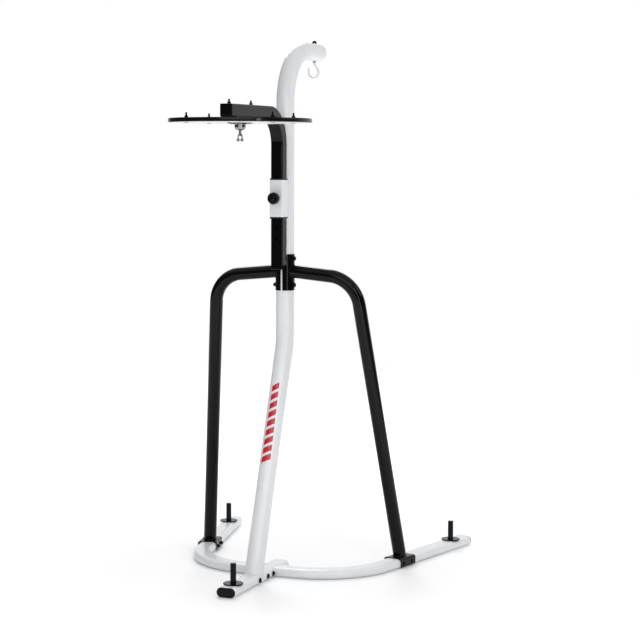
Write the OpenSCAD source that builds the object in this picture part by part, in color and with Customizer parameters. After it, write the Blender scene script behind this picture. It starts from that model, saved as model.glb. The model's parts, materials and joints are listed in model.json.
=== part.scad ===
// Dual-station boxing stand: a floor base with weight pegs, a bent mast with a
// heavy-bag hook at the rear, and a height-adjustable speed-bag platform in front.
// Units are millimetres. +Z is up, -Y is the speed-bag side, +Y the heavy-bag side.
// The origin is on the floor, on the axis of the upright mast.

/* [Base frame] */
// Width of the flat-oval base tube
base_w = 76; // [70:1:80]
// Height of the flat-oval base tube
base_t = 38; // [34:1:40]
// Wall of every frame tube
tube_wall = 2; // [1.5:0.5:3]
// Front end of the centre foot, as a distance ahead of the mast
foot_front = 571; // [540:1:600]
// Rear end of the centre foot, as a distance ahead of the mast
foot_rear = 50; // [40:1:80]
// Where the bow crosses the foot, as a distance ahead of the mast
bow_front = 155; // [145:1:165]
// Centreline radius of the bow's two corners
bow_r = 300; // [280:5:320]
// Outward splay of the bow's arms
bow_splay = 13.2; // [10:0.1:15]
// Rear end of the bow's arms, as a distance behind the mast
bow_rear = 690; // [675:1:700]

/* [Weight pegs] */
// Diameter of a peg
peg_d = 23; // [20:1:28]
// Height of the pegs above the floor
peg_top = 119; // [100:1:140]
// Diameter of the flange that carries the weight plates
flange_d = 78; // [70:1:90]
// Thickness of the flange
flange_t = 5; // [3:1:8]
// Distance of the front peg ahead of the mast
peg_front = 505; // [490:1:515]
// Distance of the rear pegs behind the mast
peg_rear = 588; // [560:1:610]

/* [Mast] */
// Diameter of the mast tube
mast_d = 72; // [68:1:76]
// Height at which the leaning and the upright axes meet
lean_z = 917; // [900:1:940]
// Forward lean of the lower upright
lean = 19.5; // [17:0.1:21]
// Centreline radius of the lower bend
lean_r = 200; // [160:10:240]
// Height of the joint between the lower upright and the upper mast
joint_z = 1200; // [1190:1:1210]
// Height of the bag arm's centreline
arm_z = 2089; // [2000:1:2100]
// Centreline radius of the bend into the bag arm
arm_r = 217; // [200:1:240]
// Rear end of the bag arm, as a distance behind the mast
arm_end = 350; // [340:1:400]
// Distance of the bag hook behind the mast
hook_y = 308; // [300:1:315]

/* [Side legs] */
// Diameter of the leg tube
leg_d = 53; // [48:1:56]
// Height of the leg axes where they would meet the mast axis
leg_z = 1207; // [1200:1:1212]
// Half of the distance between the two leg corners
leg_corner_x = 300; // [280:1:320]
// Height of the leg corners
leg_corner_z = 1179; // [1170:1:1185]
// Centreline radius of the leg bends
leg_r = 130; // [110:5:150]
// Distance behind the mast at which the legs stand on the bow
leg_foot_y = 197; // [180:1:220]

/* [Collar and saddles] */
// Bottom of the collar
collar_z0 = 1128; // [1120:1:1135]
// Height of the collar
collar_h = 145; // [140:1:150]
// Sheet thickness of collar halves
collar_t = 2.5; // [2:0.5:3]
// Gap between the collar halves
collar_gap = 8.6; // [6:0.2:12]
// Length of a saddle along the bow
saddle_len = 108; // [100:1:120]
// Sheet thickness of a saddle
saddle_t = 3; // [2.5:0.5:4]

/* [Speed-bag arm] */
// Side of the square arm tube
post_w = 50; // [48:1:50]
// Corner radius of the arm tube
post_r = 6; // [4:1:7]
// Bottom of the arm's post at the stored height
post_z0 = 1218; // [1210:1:1225]
// Top of the beam at the stored height
beam_top = 1856; // [1840:1:1870]
// Centreline radius of the arm's bend
post_bend_r = 125; // [115:1:126]
// Front end of the beam, as a distance ahead of the mast
beam_front = 562; // [555:1:580]
// Number of height holes
height_holes = 7; // [5:1:7]
// Spacing of the height holes
hole_pitch = 40; // [40:1:40]
// Height of the locking pin
pin_z = 1497; // [1490:1:1500]
// Outer side of the height sleeve
sleeve_w = 58; // [58:1:60]
// Bottom of the white part of the sleeve
sleeve_z0 = 1423; // [1420:1:1430]
// Length of the white part of the sleeve
sleeve_h = 146; // [140:1:150]

/* [Platform] */
// Diameter of the platform
board_d = 542; // [520:2:560]
// Thickness of the platform
board_t = 16; // [16:1:16]
// Distance of the platform's centre ahead of the mast
board_front = 438; // [436:1:445]
// Half of the spacing of the two cross bars
bar_half = 100; // [90:1:105]
// Distance of the outer platform bolts from the centre
bolt_x = 176; // [160:1:180]
// Thickness of the cross bars
bar_t = 3; // [3:1:3]

/* [Hidden] */

$fn = 64;
white = "#e4e8ea";
black = "#15171a";
zinc = "#b9bdc0";

weld_gap = 0.1;      // room for the weld at a coped joint
lap = 1;             // run of a bend into its straights
bend_thin = 0.3;     // what a bend's wall loses on each side as the tube is drawn round
hook_skin = 0.05;    // extra skin of the hook's bends over its straights
side_z = base_t / 2; // height of the base tubes' centreline
steel_fit = 0.25;    // radial room around a bolt

// Base bow, worked out for the right side
arm_slope = tan(bow_splay);
arm_x0 = 519 - arm_slope * (peg_rear + bow_front); // arm's line at the front straight
bow_turn = 90 - bow_splay;
bow_half = arm_x0 - bow_r * tan(bow_turn / 2);
bow_cy = bow_r - bow_front;
bow_arm_y = bow_cy - bow_r * sin(bow_splay);
bow_arm_len = (bow_rear - bow_arm_y) / cos(bow_splay);
function arm_x(y) = arm_x0 + arm_slope * (y + bow_front);

// Lower upright
lean_tangent = lean_r * tan(lean / 2);
lean_len = (lean_z - side_z) / cos(lean) - lean_tangent;
function upright_y(z) = -(lean_z - z) * tan(lean);

// Side legs: slope of the upper run, then turn, roll and length of the lower run
leg_top = saddle_t + base_t;
leg_slope = atan((leg_z - leg_corner_z) / leg_corner_x);
leg_run = [arm_x(leg_foot_y) - leg_corner_x, leg_foot_y, base_t - leg_corner_z];
leg_run_x = leg_run[0] * cos(leg_slope) - leg_run[2] * sin(leg_slope);
leg_run_z = leg_run[0] * sin(leg_slope) + leg_run[2] * cos(leg_slope);
leg_roll = atan2(leg_run[1], -leg_run_z);
leg_turn = atan2(norm([leg_run[1], leg_run_z]), leg_run_x);
leg_tangent = leg_r * tan(leg_turn / 2);
leg_upper = norm([leg_corner_x, leg_z - leg_corner_z]) - leg_tangent;
leg_lower = norm(leg_run) - leg_tangent + 10;
collar_r = mast_d / 2 + 0.15 + collar_t;
collar_bolt_z = [collar_z0 + 21, collar_z0 + collar_h - 18];

// Foot bolts and the tongue they hold
foot_bolt_y = [-339, -260, -207];
foot_bolt_d = 10;
saddle_bolt_d = 8;
saddle_bolt_step = 30;

// Speed-bag arm
post_y = -(mast_d / 2 + 0.05 + sleeve_w / 2);
beam_z = beam_top - post_w / 2;
post_bend_z = beam_z - post_bend_r;
post_wall = 2;
sleeve_wall = 3;
rim_h = 7;
slide_gap = 0.3;
board_top = beam_top - post_w - bar_t;
board_z = board_top - board_t;
board_head_h = 1.5;

// Locking plunger
pin_d = 10;
pin_pull = 8;
barrel_d = 22;
barrel_bore = 17;
sleeve_face = post_y - sleeve_w / 2;
barrel_face = sleeve_face - 18;
knob_face = sleeve_face - 36;
pin_tip = post_y - post_w / 2 + post_wall + 3;
pin_collar = sleeve_face - 0.3;
spring_wire = 1.2;
spring_turns = 3.5;
spring_len = 12.6;

// Hook
hook_wire = 8;
hook_r = 22;
hook_cz = 2008;
hook_cx = -3;
hook_neck_z = 2045;
hook_reach = norm([hook_cx, hook_neck_z - hook_cz]);
hook_start = atan2(hook_neck_z - hook_cz, -hook_cx) - acos(hook_r / hook_reach);
hook_start_x = hook_cx + hook_r * cos(hook_start);
hook_start_z = hook_cz + hook_r * sin(hook_start);
hook_turn = atan2(hook_start_x, hook_start_z - hook_neck_z);
hook_top_z = arm_z + mast_d / 2;

// Swivel under the platform
ball_d = 24;
ball_z = board_z - 19;
eye_z = board_z - 43;
eye_half = 3;
link_z = eye_z - 22;
shackle_r = 8;
shackle_wire = 5;
ear_half = 3;
swivel_screw_r = 36;

// ---------- profiles ----------

// Flat-oval outline with its long axis along X
module flat_oval(w, t) {
  square([w - t, t], center = true);
  for (s = [-1, 1])
    translate([s * (w - t) / 2, 0])
      circle(d = t);
}

// Tube outlines; thin is what the wall loses on each side in a bend
module base_ring(thin = 0) {
  bore = 2 * (tube_wall - thin);
  difference() {
    flat_oval(base_w - 2 * thin, base_t - 2 * thin);
    flat_oval(base_w - bore, base_t - bore);
  }
}

module round_ring(d, thin = 0) {
  difference() {
    circle(d = d - 2 * thin);
    circle(d = d - 2 * (tube_wall - thin));
  }
}

// Square outline with round corners
module rounded_square(w, h, r) {
  square([w - 2 * r, h], center = true);
  square([w, h - 2 * r], center = true);
  for (x = [-1, 1])
    for (y = [-1, 1])
      translate([x * (w / 2 - r), y * (h / 2 - r)])
        circle(r = r);
}

module post_ring() {
  difference() {
    rounded_square(post_w, post_w, post_r);
    rounded_square(post_w - 2 * post_wall, post_w - 2 * post_wall, post_r - post_wall);
  }
}

// ---------- placement and sweeps ----------

// Extrudes the children's outline along +X, its x lying along Y
module along_x(len) {
  rotate([90, 0, 90])
    linear_extrude(len)
      children();
}

// Extrudes the children's outline along +Y
module along_y(len) {
  rotate([-90, 0, 0])
    linear_extrude(len)
      children();
}

// Extrudes a YZ outline along X from x0
module along_x_from(x0, len) {
  translate([x0, 0, 0])
    along_x(len)
      children();
}

// Bends the children's outline about Z through sweep, running a little into the straights at both ends
module lapped_bend(r, sweep) {
  run = asin(lap / r);
  rotate([0, 0, -run])
    rotate_extrude(angle = sweep + 2 * run)
      translate([r, 0])
        children();
}

// Bends the children's outline in the YZ plane, from angle a0 through sweep
module bend_yz(r, a0, sweep) {
  rotate([90, 0, 90])
    rotate([0, 0, a0])
      rotate_extrude(angle = sweep)
        translate([r, 0])
          children();
}

// A rod between two heights on a vertical axis
module rod(d, z0, z1) {
  translate([0, 0, z0])
    cylinder(d = d, h = z1 - z0);
}

// A rod along X between x0 and x1
module rod_x(d, x0, x1) {
  translate([x0, 0, 0])
    rotate([0, 90, 0])
      cylinder(d = d, h = x1 - x0);
}

// A rod along Y between y0 and y1
module rod_y(d, y0, y1) {
  translate([0, y0, 0])
    rotate([-90, 0, 0])
      cylinder(d = d, h = y1 - y0);
}

// Mirrors a right-hand piece to the side s (1 right, -1 left)
module side(s) {
  mirror([s < 0 ? 1 : 0, 0, 0])
    children();
}

// Frame on the right bow arm at depth y, local +Y along the arm
module on_arm(y) {
  translate([arm_x(y), y, 0])
    rotate([0, 0, -bow_splay])
      children();
}

// ---------- fasteners ----------

// Low round bolt head lying on z = 0, with its shank down to z = -len
module dome_bolt(d, head_d, head_h, len) {
  rod(d, -len, 0);
  rotate_extrude()
    polygon([[0, 0], [head_d / 2, 0], [head_d / 2, head_h * 0.45],
             [head_d * 0.36, head_h * 0.85], [head_d * 0.2, head_h], [0, head_h]]);
}

// Hexagon nut lying on z = 0, bored for its bolt
module hex_nut(d, across, h) {
  difference() {
    cylinder(d = across / cos(30), h = h, $fn = 6);
    translate([0, 0, -1])
      cylinder(d = d + 0.1, h = h + 2);
  }
}

// Points +Z of the children along +X
module facing_x() {
  rotate([0, 90, 0])
    children();
}

// ---------- base ----------

module foot_solid(grow = 0) {
  translate([0, -foot_front - grow, side_z])
    along_y(foot_front - foot_rear + 2 * grow)
      flat_oval(base_w + 2 * grow, base_t + 2 * grow);
}

module foot_tube() {
  color(white)
    difference() {
      translate([0, -foot_front, side_z])
        along_y(foot_front - foot_rear)
          base_ring();
      for (y = foot_bolt_y)
        translate([0, y, side_z])
          rod_x(foot_bolt_d + 2 * steel_fit, -base_w, base_w);
      translate([0, -peg_front, 0])
        rod(peg_d + 0.4, base_t / 2, base_t + 1);
      translate([-4.5, upright_y(base_t) - 18, base_t / 2])
        cube([9, 36, base_t]);
    }
}

// End cap with a plug that fits the tube; it faces -Y at the origin
module base_cap(thick, plug) {
  color(black) {
    translate([0, -thick, 0])
      along_y(thick)
        flat_oval(base_w, base_t);
    difference() {
      along_y(plug)
        flat_oval(base_w - 2 * tube_wall - 0.4, base_t - 2 * tube_wall - 0.4);
      translate([0, 2, 0])
        along_y(plug)
          flat_oval(base_w - 2 * tube_wall - 5, base_t - 2 * tube_wall - 5);
    }
  }
}

module foot_front_cap() {
  translate([0, -foot_front, side_z])
    base_cap(8, 22);
}

module foot_rear_cap() {
  translate([0, -foot_rear, side_z])
    rotate([0, 0, 180])
      base_cap(4, 22);
}

module bow_half() {
  along_x(bow_half)
    base_ring();
  translate([bow_half, bow_r, 0])
    rotate([0, 0, -90]) {
      lapped_bend(bow_r, bow_turn)
        base_ring(bend_thin);
      rotate([0, 0, bow_turn])
        translate([bow_r, 0, 0])
          along_y(bow_arm_len)
            base_ring();
    }
}

module base_arm(s) {
  color(white)
    side(s)
      difference() {
        translate([0, -bow_front, side_z])
          bow_half();
        foot_solid(weld_gap);
        translate([-1, -bow_front - base_w, -1])
          cube([20, 2 * base_w, base_t + 2]);
        on_arm(peg_rear)
          rod(peg_d + 0.4, base_t / 2, base_t + 1);
        for (y = [-1, 1])
          on_arm(leg_foot_y)
            translate([0, y * saddle_bolt_step, side_z])
              rod_x(saddle_bolt_d + 2 * steel_fit, -base_w, base_w);
      }
}

module base_right_arm() { base_arm(1); }
module base_left_arm() { base_arm(-1); }

module arm_cap(s) {
  side(s)
    on_arm(bow_rear)
      translate([0, 0, side_z])
        rotate([0, 0, 180])
          base_cap(8, 22);
}

module right_arm_cap() { arm_cap(1); }
module left_arm_cap() { arm_cap(-1); }

// ---------- weight pegs ----------

module weight_peg() {
  color(black)
    rotate_extrude()
      polygon([[0, tube_wall], [peg_d / 2 - 0.3, tube_wall], [peg_d / 2 - 0.3, base_t + flange_t],
               [peg_d / 2, base_t + flange_t], [peg_d / 2, peg_top - 2],
               [peg_d / 2 - 2, peg_top], [0, peg_top]]);
}

module peg_flange() {
  color(black)
    rotate_extrude()
      polygon([[peg_d / 2 - 0.2, base_t], [flange_d / 2 - 1, base_t], [flange_d / 2, base_t + 1],
               [flange_d / 2, base_t + flange_t - 1], [flange_d / 2 - 1, base_t + flange_t],
               [peg_d / 2 - 0.2, base_t + flange_t]]);
}

module at_front_peg() {
  translate([0, -peg_front, 0])
    children();
}

module at_rear_peg(s) {
  side(s)
    on_arm(peg_rear)
      children();
}

module front_weight_peg() { at_front_peg() weight_peg(); }
module right_weight_peg() { at_rear_peg(1) weight_peg(); }
module left_weight_peg() { at_rear_peg(-1) weight_peg(); }
module front_peg_flange() { at_front_peg() peg_flange(); }
module right_peg_flange() { at_rear_peg(1) peg_flange(); }
module left_peg_flange() { at_rear_peg(-1) peg_flange(); }

// ---------- lower upright ----------

module mast_bolt_hole(z) {
  translate([0, 0, z])
    rod_x(foot_bolt_d + 2 * steel_fit, -mast_d, mast_d);
}

module lower_upright() {
  color(white)
    difference() {
      union() {
        translate([0, 0, lean_z + lean_tangent])
          linear_extrude(joint_z - lean_z - lean_tangent)
            round_ring(mast_d);
        translate([0, -lean_r, lean_z + lean_tangent])
          rotate([90, 0, 90])
            rotate([0, 0, -lean])
              lapped_bend(lean_r, lean)
                round_ring(mast_d, bend_thin);
        translate([0, 0, lean_z])
          rotate([-lean, 0, 0])
            translate([0, 0, -lean_tangent - lean_len])
              linear_extrude(lean_len)
                round_ring(mast_d);
      }
      foot_solid(weld_gap);
      mast_bolt_hole(collar_bolt_z[0]);
    }
}

// Steel block inside the foot with a neck that rises into the upright
module upright_tongue() {
  block = base_t / 2 - tube_wall;
  color(zinc)
    difference() {
      union() {
        translate([-17, -366, side_z - block])
          cube([34, 180, 2 * block]);
        along_x_from(-4, 8)
          polygon([[upright_y(30) - 13, 30], [upright_y(30) + 13, 30],
                   [upright_y(120) + 13, 120], [upright_y(120) - 13, 120]]);
      }
      for (y = foot_bolt_y)
        translate([0, y, side_z])
          rod_x(foot_bolt_d + 2 * steel_fit, -base_w, base_w);
    }
}

module foot_bolts() {
  color(black)
    for (y = foot_bolt_y)
      translate([base_w / 2, y, side_z])
        facing_x()
          dome_bolt(foot_bolt_d, 20, 6, base_w + 12);
}

module foot_nuts() {
  color(black)
    for (y = foot_bolt_y)
      translate([-base_w / 2, y, side_z])
        mirror([1, 0, 0])
          facing_x()
            hex_nut(foot_bolt_d, 17, 8);
}

// ---------- legs, collar and saddles ----------

module leg(s) {
  color(black)
    side(s)
      difference() {
        translate([0, 0, leg_z])
          rotate([leg_roll, leg_slope, 0]) {
            translate([20, 0, 0])
              along_x(leg_upper - 20)
                round_ring(leg_d);
            translate([leg_upper, 0, -leg_r]) {
              rotate([90, 0, 0])
                rotate([0, 0, 90 - leg_turn])
                  lapped_bend(leg_r, leg_turn)
                    round_ring(leg_d, bend_thin);
              rotate([0, leg_turn, 0])
                translate([0, 0, leg_r])
                  along_x(leg_lower)
                    round_ring(leg_d);
            }
          }
        rod(2 * (collar_r + weld_gap), collar_z0, collar_z0 + collar_h);
        translate([0, 0, -100])
          cube([700, 700, leg_top + 100]);
      }
}

module right_leg() { leg(1); }
module left_leg() { leg(-1); }

module half_collar(s) {
  color(black)
    side(s)
      difference() {
        rod(2 * collar_r, collar_z0, collar_z0 + collar_h);
        rod(mast_d + 0.3, collar_z0 - 1, collar_z0 + collar_h + 1);
        translate([-2 * collar_r, -collar_r - 1, collar_z0 - 1])
          cube([2 * collar_r + collar_gap / 2, 2 * collar_r + 2, collar_h + 2]);
        for (z = collar_bolt_z)
          mast_bolt_hole(z);
      }
}

module right_half_collar() { half_collar(1); }
module left_half_collar() { half_collar(-1); }

module collar_bolts() {
  color(black)
    for (z = collar_bolt_z)
      translate([collar_r, 0, z])
        facing_x()
          dome_bolt(foot_bolt_d, 19, 7, 2 * collar_r + 12);
}

module collar_nuts() {
  color(black)
    for (z = collar_bolt_z)
      translate([-collar_r, 0, z])
        mirror([1, 0, 0])
          facing_x()
            hex_nut(foot_bolt_d, 16, 8);
}

// Inverted channel that clips over the bow arm and carries the leg
module saddle(s) {
  drop = 5;
  outer_h = leg_top - drop;
  color(black)
    side(s)
      on_arm(leg_foot_y)
        translate([0, -saddle_len / 2, 0])
          difference() {
            translate([0, 0, leg_top - outer_h / 2 - 10])
              along_y(saddle_len)
                rounded_square(base_w + 2 * saddle_t + 0.2, outer_h + 20, 9);
            translate([0, -1, base_t - outer_h / 2 - 10])
              along_y(saddle_len + 2)
                rounded_square(base_w + 0.2, outer_h + 20, 6);
            translate([-base_w, -1, drop - 40])
              cube([2 * base_w, saddle_len + 2, 40]);
            for (y = [-1, 1])
              translate([0, saddle_len / 2 + y * saddle_bolt_step, side_z])
                rod_x(saddle_bolt_d + 2 * steel_fit, -base_w, base_w);
          }
}

module right_saddle() { saddle(1); }
module left_saddle() { saddle(-1); }

module saddle_bolts() {
  color(black)
    for (s = [-1, 1])
      side(s)
        on_arm(leg_foot_y)
          for (y = [-1, 1])
            translate([base_w / 2 + 0.1 + saddle_t, y * saddle_bolt_step, side_z])
              facing_x()
                dome_bolt(saddle_bolt_d, 17, 5, base_w + 2 * saddle_t + 10);
}

module saddle_nuts() {
  color(black)
    for (s = [-1, 1])
      side(s)
        on_arm(leg_foot_y)
          for (y = [-1, 1])
            translate([-base_w / 2 - 0.1 - saddle_t, y * saddle_bolt_step, side_z])
              mirror([1, 0, 0])
                facing_x()
                  hex_nut(saddle_bolt_d, 13, 6.5);
}

// ---------- upper mast and bag hook ----------

module upper_mast() {
  color(white)
    difference() {
      union() {
        translate([0, 0, joint_z])
          linear_extrude(arm_z - arm_r - joint_z)
            round_ring(mast_d);
        translate([0, arm_r, arm_z - arm_r])
          bend_yz(arm_r, 90, 90)
            round_ring(mast_d);
        translate([0, arm_r, arm_z])
          along_y(arm_end - arm_r)
            round_ring(mast_d);
      }
      mast_bolt_hole(collar_bolt_z[1]);
      translate([0, hook_y, 0])
        rod(hook_wire + 0.6, arm_z - mast_d, arm_z + mast_d);
    }
}

// Inner sleeve that joins the two mast tubes inside the collar
module mast_splice() {
  color(zinc)
    difference() {
      rod(mast_d - 2 * tube_wall - 0.4, joint_z - 100, joint_z + 100);
      rod(mast_d - 2 * tube_wall - 6.4, joint_z - 101, joint_z + 101);
      for (z = collar_bolt_z)
        mast_bolt_hole(z);
    }
}

module mast_end_cap() {
  plug_r = mast_d / 2 - tube_wall - 0.2;
  color(white)
    translate([0, arm_end, arm_z])
      rotate([-90, 0, 0])
        rotate_extrude()
          polygon([[0, 0], [plug_r - 3, 0], [plug_r - 3, -18], [plug_r, -18], [plug_r, 0],
                   [mast_d / 2, 0], [mast_d / 2, 2], [mast_d / 2 - 3, 5], [mast_d / 2 - 12, 8],
                   [0, 9]]);
}

module bag_hook() {
  color(white)
    translate([0, hook_y, 0]) {
      rod(hook_wire, hook_neck_z, hook_top_z + 9);
      translate([0, 0, hook_neck_z]) {
        sphere(d = hook_wire + 4 * hook_skin);
        rotate([0, hook_turn, 0])
          cylinder(d = hook_wire, h = norm([hook_start_x, hook_start_z - hook_neck_z]) + lap);
      }
      translate([hook_cx, 0, hook_cz])
        rotate([90, 0, 0])
          rotate([0, 0, -180])
            rotate_extrude(angle = 180 + hook_start)
              translate([hook_r, 0])
                circle(d = hook_wire + 2 * hook_skin);
      translate([hook_cx - hook_r, 0, 0])
        rod(hook_wire, hook_cz - lap, hook_cz + 16);
      translate([hook_cx - hook_r, 0, hook_cz + 16])
        sphere(d = hook_wire + 2 * hook_skin);
    }
}

module hook_washer() {
  color(zinc)
    translate([0, hook_y, 0])
      difference() {
        rod(20, hook_top_z, hook_top_z + 2);
        rod(hook_wire + 0.4, hook_top_z - 1, hook_top_z + 3);
      }
}

module hook_cap_nut() {
  color(black)
    translate([0, hook_y, hook_top_z + 2])
      difference() {
        rotate_extrude()
          polygon([[0, 0], [9, 0], [9, 4.5], [7.4, 8], [4.4, 10], [0, 10.6]]);
        rod(hook_wire + 0.1, -1, 7.1);
      }
}

module hook_lock_nut() {
  color(zinc)
    translate([0, hook_y, arm_z - mast_d / 2 - 5])
      hex_nut(hook_wire, 13, 5);
}

// ---------- height sleeve and locking plunger ----------

module sleeve_outline() {
  rounded_square(sleeve_w, sleeve_w, post_r + 2);
}

module height_sleeve() {
  color(white)
    difference() {
      translate([0, post_y, sleeve_z0])
        linear_extrude(sleeve_h)
          difference() {
            sleeve_outline();
            rounded_square(sleeve_w - 2 * sleeve_wall, sleeve_w - 2 * sleeve_wall, post_r);
          }
      translate([0, 0, pin_z])
        rod_y(pin_d + 0.2, sleeve_face - 1, post_y);
    }
}

// Plastic liner with a rim that covers the end of the sleeve; the rim is at z = 0 and below
module sleeve_bushing() {
  liner = sleeve_w - 2 * sleeve_wall - 0.1;
  bore = post_w + 2 * slide_gap;
  difference() {
    union() {
      translate([0, 0, -rim_h])
        linear_extrude(rim_h)
          rounded_square(sleeve_w, sleeve_w, post_r + 2);
      linear_extrude(24)
        rounded_square(liner, liner, post_r);
    }
    translate([0, 0, -rim_h - 1])
      linear_extrude(rim_h + 26)
        rounded_square(bore, bore, post_r);
  }
}

module sleeve_bottom_bushing() {
  color(black)
    translate([0, post_y, sleeve_z0])
      sleeve_bushing();
}

module sleeve_top_bushing() {
  color(black)
    translate([0, post_y, sleeve_z0 + sleeve_h])
      mirror([0, 0, 1])
        sleeve_bushing();
}

// Turned parts of the plunger share this frame: +Z points forward out of the sleeve
module on_plunger() {
  translate([0, 0, pin_z])
    rotate([90, 0, 0])
      children();
}

module plunger_barrel() {
  wall = 2.5;
  color(black)
    on_plunger()
      difference() {
        rod(barrel_d, -sleeve_face, -barrel_face);
        rod(barrel_bore, -sleeve_face - 1, -barrel_face - wall);
        rod(pin_d + 0.2, -sleeve_face, -barrel_face + 1);
      }
}

module plunger_pin() {
  color(zinc)
    on_plunger()
      rotate_extrude()
        polygon([[0, -pin_tip], [pin_d / 2 - 1, -pin_tip], [pin_d / 2, -pin_tip + 1],
                 [pin_d / 2, -pin_collar], [barrel_bore / 2 - 0.5, -pin_collar],
                 [barrel_bore / 2 - 0.5, -pin_collar + 2.5], [pin_d / 2, -pin_collar + 2.5],
                 [pin_d / 2, -knob_face - 6], [0, -knob_face - 6]]);
}

module plunger_knob() {
  r = 23.5;
  face = -knob_face;
  back = face - 24;
  cup = -barrel_face + 3;
  color(black)
    on_plunger()
      difference() {
        rotate_extrude()
          polygon([[0, back], [r - 5, back], [r, back + 5], [r, face - 4], [r - 4, face],
                   [r - 7, face], [r - 9, face - 2], [8, face - 2], [6, face - 1], [0, face - 1]]);
        rod(barrel_d + 3, back - 1, cup);
        rod(pin_d + 0.1, cup - 1, face - 6);
      }
}

// Points of a helix of the spring, in the plunger's frame
function spring_point(i, steps) =
  let (a = 360 * spring_turns * i / steps, r = barrel_bore / 2 - 1.6)
  [r * cos(a), r * sin(a), spring_wire / 2 + (spring_len - spring_wire) * i / steps];

module plunger_spring() {
  steps = 70;
  sides = 8;
  r = barrel_bore / 2 - 1.6;
  pts = [for (i = [0:steps]) let (c = spring_point(i, steps), a = 360 * spring_turns * i / steps)
           for (k = [0:sides - 1]) let (b = 360 * k / sides)
             [c[0] + spring_wire / 2 * cos(b) * cos(a), c[1] + spring_wire / 2 * cos(b) * sin(a),
              c[2] + spring_wire / 2 * sin(b)]];
  walls = [for (i = [0:steps - 1]) for (k = [0:sides - 1])
             [i * sides + k, i * sides + (k + 1) % sides,
              (i + 1) * sides + (k + 1) % sides, (i + 1) * sides + k]];
  color(zinc)
    on_plunger()
      translate([0, 0, -pin_collar + 2.5])
        polyhedron(pts, concat(walls, [[for (k = [sides - 1:-1:0]) k]],
                               [[for (k = [0:sides - 1]) steps * sides + k]]));
}

// ---------- speed-bag arm ----------

module speed_arm() {
  color(black)
    difference() {
      union() {
        translate([0, post_y, post_z0])
          linear_extrude(post_bend_z - post_z0)
            post_ring();
        translate([0, post_y - post_bend_r, post_bend_z])
          bend_yz(post_bend_r, 0, 90)
            post_ring();
        translate([0, -beam_front, beam_z])
          along_y(beam_front + post_y - post_bend_r)
            post_ring();
      }
      for (i = [0:height_holes - 1])
        translate([0, 0, pin_z + (2 - i) * hole_pitch])
          rod_y(pin_d + 1, post_y - post_w, post_y);
      for (y = [-1, 1])
        translate([0, -board_front + y * bar_half, 0])
          rod(8.5, beam_z - post_w, beam_z + post_w);
    }
}

module square_plug(thick) {
  color(black) {
    linear_extrude(thick)
      rounded_square(post_w, post_w, post_r);
    translate([0, 0, -16])
      linear_extrude(16)
        rounded_square(post_w - 2 * post_wall - 0.4, post_w - 2 * post_wall - 0.4, post_r - post_wall);
  }
}

module post_plug() {
  translate([0, post_y, post_z0])
    mirror([0, 0, 1])
      square_plug(3);
}

module beam_plug() {
  translate([0, -beam_front, beam_z])
    rotate([90, 0, 0])
      square_plug(3);
}

// ---------- platform ----------

module at_platform_bolts(xs) {
  for (x = xs)
    for (y = [-1, 1])
      translate([x, -board_front + y * bar_half, 0])
        children();
}

module platform_crossbars() {
  color(black)
    difference() {
      for (y = [-1, 1])
        translate([0, -board_front + y * bar_half, board_top])
          linear_extrude(bar_t)
            rounded_square(2 * bolt_x + 48, 40, 8);
      at_platform_bolts([-bolt_x, 0, bolt_x])
        rod(8.5, board_top - 1, board_top + bar_t + 1);
    }
}

module platform_board() {
  color(white)
    translate([0, -board_front, 0])
      difference() {
        rod(board_d - 4, board_z, board_top);
        for (x = [-bolt_x, 0, bolt_x])
          for (y = [-1, 1])
            translate([x, y * bar_half, 0])
              rod(8.5, board_z - 1, board_top + 1);
      }
}

module board_edge_band() {
  color(black)
    translate([0, -board_front, 0])
      difference() {
        rod(board_d, board_z, board_top);
        rod(board_d - 3.8, board_z - 1, board_top + 1);
      }
}

module platform_bolts() {
  color(black)
    at_platform_bolts([-bolt_x, bolt_x])
      translate([0, 0, board_z])
        mirror([0, 0, 1])
          dome_bolt(8, 18, board_head_h, board_t + bar_t + 19);
}

module platform_nuts() {
  color(black)
    at_platform_bolts([-bolt_x, bolt_x])
      translate([0, 0, board_top + bar_t])
        hex_nut(8, 13, 7);
}

module beam_bolts() {
  color(black)
    at_platform_bolts([0])
      translate([0, 0, board_z])
        mirror([0, 0, 1])
          dome_bolt(8, 18, board_head_h, board_t + bar_t + post_w + 17);
}

module beam_nuts() {
  color(black)
    at_platform_bolts([0])
      translate([0, 0, beam_top])
        hex_nut(8, 13, 7);
}

// ---------- speed-bag swivel ----------

module at_swivel() {
  translate([0, -board_front, 0])
    children();
}

module swivel_plate() {
  color(black)
    at_swivel()
      difference() {
        rod(90, board_z - 3, board_z);
        for (a = [0:90:270])
          rotate([0, 0, a])
            translate([swivel_screw_r, 0, 0])
              rod(5.4, board_z - 4, board_z + 1);
      }
}

module swivel_screws() {
  color(zinc)
    at_swivel()
      for (a = [0:90:270])
        rotate([0, 0, a])
          translate([swivel_screw_r, 0, board_z - 3])
            mirror([0, 0, 1])
              dome_bolt(5, 10, 3, 3);
}

module swivel_cup() {
  top = board_z - 3;
  color(zinc)
    at_swivel()
      difference() {
        rotate_extrude()
          polygon([[0, top], [27, top], [27, top - 2.5], [21, top - 4], [21, top - 14],
                   [18, top - 21], [12, top - 25], [0, top - 25]]);
        translate([0, 0, ball_z])
          sphere(d = ball_d + 0.6);
        rod(17, top - 26, ball_z);
      }
}

// Ball stud that ends in a flat eye for the shackle
module swivel_rotor() {
  color(zinc)
    at_swivel()
      difference() {
        union() {
          translate([0, 0, ball_z])
            sphere(d = ball_d);
          rod(10, eye_z + 6, ball_z);
          translate([0, 0, eye_z])
            rod_x(15, -eye_half, eye_half);
        }
        translate([0, 0, eye_z])
          rod_x(7.2, -eye_half - 1, eye_half + 1);
      }
}

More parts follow.
